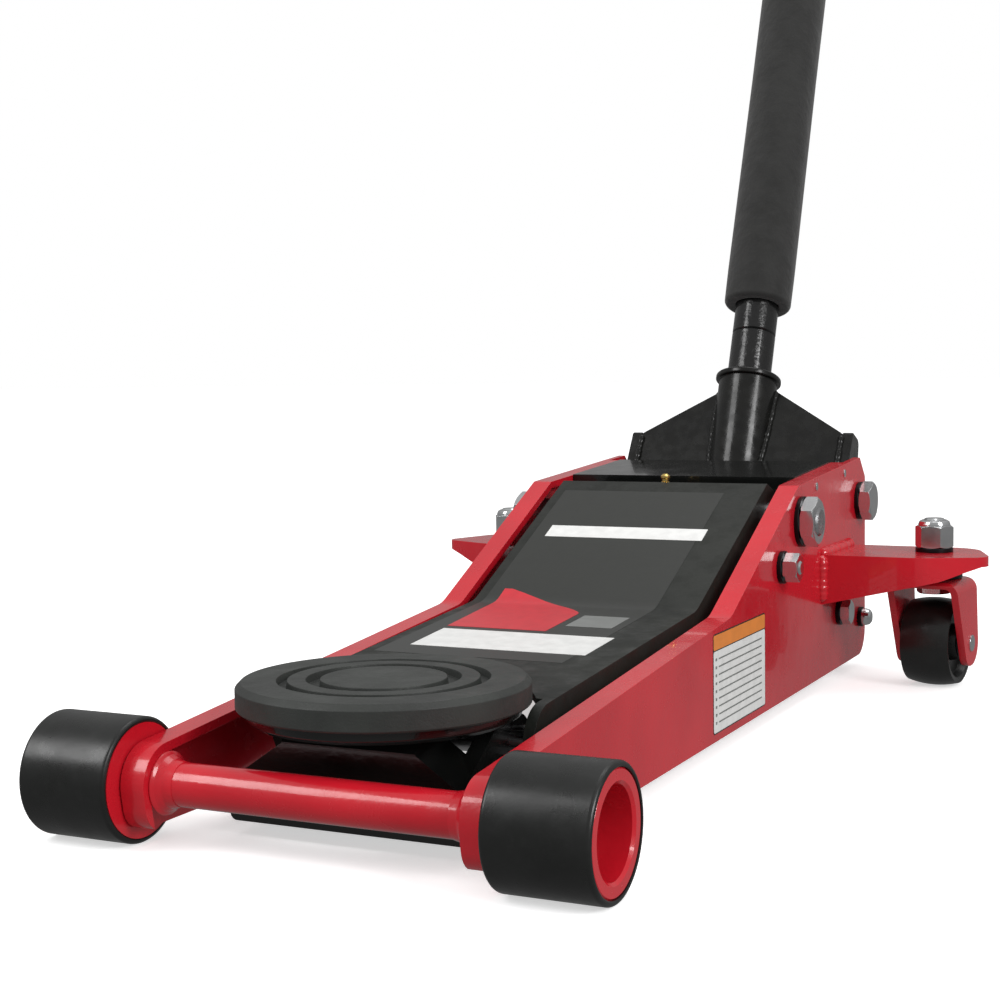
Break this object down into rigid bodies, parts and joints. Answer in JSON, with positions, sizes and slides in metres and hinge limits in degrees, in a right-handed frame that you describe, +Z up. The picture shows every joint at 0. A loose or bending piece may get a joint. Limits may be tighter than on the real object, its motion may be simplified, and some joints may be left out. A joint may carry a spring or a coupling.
{
  "type": "hydraulic floor jack",
  "caption": "Low-profile hydraulic floor jack: wheeled frame, lift arm with a swivel saddle, power unit and a tall pump handle in a pivoting yoke.",
  "frame": {"origin": "centre of the bounding box on the floor, with the arm down and the handle upright in its yoke", "axes": "+X the right-hand side seen from the saddle end, +Y towards the handle end (the saddle end is -Y), +Z up; left is -X and right is +X"},
  "size_m": [0.4244, 1.0847, 1.1376],
  "materials": {
    "red_paint": "high-gloss red enamel",
    "black_paint": "gloss black enamel with slight orange peel",
    "handle_paint": "gloss black enamel",
    "zinc": "bright zinc plate",
    "steel": "machined steel, oiled",
    "black_oxide": "black oxide, satin",
    "cast_metal": "painted casting, dark grey",
    "brass": "turned brass",
    "spring_steel": "drawn spring wire",
    "pad_rubber": "matte moulded rubber",
    "tread": "satin hard tread",
    "foam": "matte closed-cell foam",
    "grip": "matte moulded grip"
  },
  "bodies": {
    "chassis": {"side_plate_left": "red_paint", "side_plate_right": "red_paint", "front_axle": "red_paint", "axle_retainers": "zinc", "caster_bracket_left": "red_paint", "caster_bracket_right": "red_paint", "caster_stems": "zinc", "caster_nuts": "zinc", "swivel_bearings": "black_oxide", "top_cover": "black_paint", "cover_screws": "zinc", "main_pivot_shaft": "steel", "main_pivot_nuts": "zinc", "link_anchor_bolts": "zinc", "yoke_pivot_bolts": "zinc", "bolt_washers": "black_oxide", "reservoir": "cast_metal", "ram_cylinder": "steel", "ram_gland": "black_oxide", "valve_block": "cast_metal", "pump_body": "steel", "filler_plug": "brass", "mounting_bolts": "zinc", "return_springs": "spring_steel", "pump_spring": "spring_steel"},
    "lift_arm": {"lift_arm": "black_paint", "pivot_hub": "black_paint", "ram_crank": "black_paint", "carrier_pin": "steel", "grease_nipple": "brass"},
    "saddle_carrier": {"saddle_carrier": "black_paint", "carrier_link_pins": "steel"},
    "link_arms": {"link_arms": "black_paint"},
    "saddle": {"saddle_plate": "black_paint", "saddle_pad": "pad_rubber"},
    "ram": {"ram_rod": "steel", "ram_crosshead_pin": "steel"},
    "pump_plunger": {"pump_plunger": "steel"},
    "yoke": {"yoke_ear_left": "black_paint", "yoke_ear_right": "black_paint", "yoke_gusset": "black_paint", "handle_socket": "black_paint", "pump_roller_fork": "black_paint"},
    "pump_roller": {"pump_roller": "steel"},
    "handle": {"handle_lower_tube": "handle_paint", "handle_upper_tube": "handle_paint", "handle_driver": "steel", "foam_sleeve": "foam", "handle_grip": "grip"},
    "release_valve": {"release_stem": "steel"},
    "front_wheel_left": {"front_hub_left": "red_paint", "front_tread_left": "tread"},
    "front_wheel_right": {"front_hub_right": "red_paint", "front_tread_right": "tread"},
    "caster_left": {"caster_fork_left": "red_paint", "caster_axle_left": "zinc"},
    "caster_right": {"caster_fork_right": "red_paint", "caster_axle_right": "zinc"},
    "caster_wheel_left": {"caster_wheel_left": "tread"},
    "caster_wheel_right": {"caster_wheel_right": "tread"}
  },
  "joints": [
    {"name": "lift", "type": "hinge", "parent": "chassis", "child": "lift_arm", "pos_m": [0, -0.03986, 0.1266], "axis": [-1, 0, 0], "range_deg": [0, 65]},
    {"name": "carrier_level", "type": "hinge", "parent": "lift_arm", "child": "saddle_carrier", "pos_m": [0, -0.41056, 0.045], "axis": [-1, 0, 0], "range_deg": [-65, 0]},
    {"name": "link_swing", "type": "hinge", "parent": "chassis", "child": "link_arms", "pos_m": [0, -0.08686, 0.1], "axis": [-1, 0, 0], "range_deg": [0, 65]},
    {"name": "saddle_swivel", "type": "hinge", "parent": "saddle_carrier", "child": "saddle", "pos_m": [0, -0.44406, 0.057], "axis": [0, 0, 1], "continuous": true},
    {"name": "ram_stroke", "type": "slide", "parent": "chassis", "child": "ram", "axis": [0, -1, 0], "range_m": [0, 0.0711], "deforming": ["return_springs"]},
    {"name": "yoke_tilt", "type": "hinge", "parent": "chassis", "child": "yoke", "pos_m": [0, 0.11944, 0.1295], "axis": [-1, 0, 0], "range_deg": [0, 45]},
    {"name": "pump_stroke", "type": "slide", "parent": "chassis", "child": "pump_plunger", "axis": [0, -1, 0], "range_m": [0, 0.0265], "deforming": ["pump_spring"]},
    {"name": "roller_spin", "type": "hinge", "parent": "yoke", "child": "pump_roller", "pos_m": [-0.038, 0.13264, 0.09763], "axis": [1, 0, 0], "continuous": true},
    {"name": "handle_twist", "type": "hinge", "parent": "yoke", "child": "handle", "pos_m": [0, 0.11944, 0.1295], "axis": [0, 0.3746, 0.9272], "range_deg": [0, 180]},
    {"name": "valve_turn", "type": "hinge", "parent": "chassis", "child": "release_valve", "pos_m": [0, 0.11944, 0.1295], "axis": [0, 0, 1], "range_deg": [0, 180]},
    {"name": "front_wheel_left_spin", "type": "hinge", "parent": "chassis", "child": "front_wheel_left", "pos_m": [-0.127, -0.51056, 0.0318], "axis": [1, 0, 0], "continuous": true},
    {"name": "front_wheel_right_spin", "type": "hinge", "parent": "chassis", "child": "front_wheel_right", "pos_m": [0.127, -0.51056, 0.0318], "axis": [1, 0, 0], "continuous": true},
    {"name": "caster_left_swivel", "type": "hinge", "parent": "chassis", "child": "caster_left", "pos_m": [-0.17, 0.06144, 0.0792], "axis": [0, 0, 1], "continuous": true},
    {"name": "caster_left_roll", "type": "hinge", "parent": "caster_left", "child": "caster_wheel_left", "pos_m": [-0.17058, 0.06691, 0.032], "axis": [0.9945, 0.1045, 0], "continuous": true},
    {"name": "caster_right_swivel", "type": "hinge", "parent": "chassis", "child": "caster_right", "pos_m": [0.17, 0.06144, 0.0792], "axis": [0, 0, 1], "continuous": true},
    {"name": "caster_right_roll", "type": "hinge", "parent": "caster_right", "child": "caster_wheel_right", "pos_m": [0.17058, 0.06691, 0.032], "axis": [0.9945, -0.1045, 0], "continuous": true}
  ],
  "couplings": [
    {"joint": "carrier_level", "follows": "lift", "ratio": -1},
    {"joint": "link_swing", "follows": "lift", "ratio": 1},
    {"joint": "ram_stroke", "follows": "lift", "m_per_rad": 0.0626},
    {"joint": "pump_stroke", "follows": "yoke_tilt", "m_per_rad": 0.03362},
    {"joint": "valve_turn", "follows": "handle_twist", "ratio": 1}
  ]
}
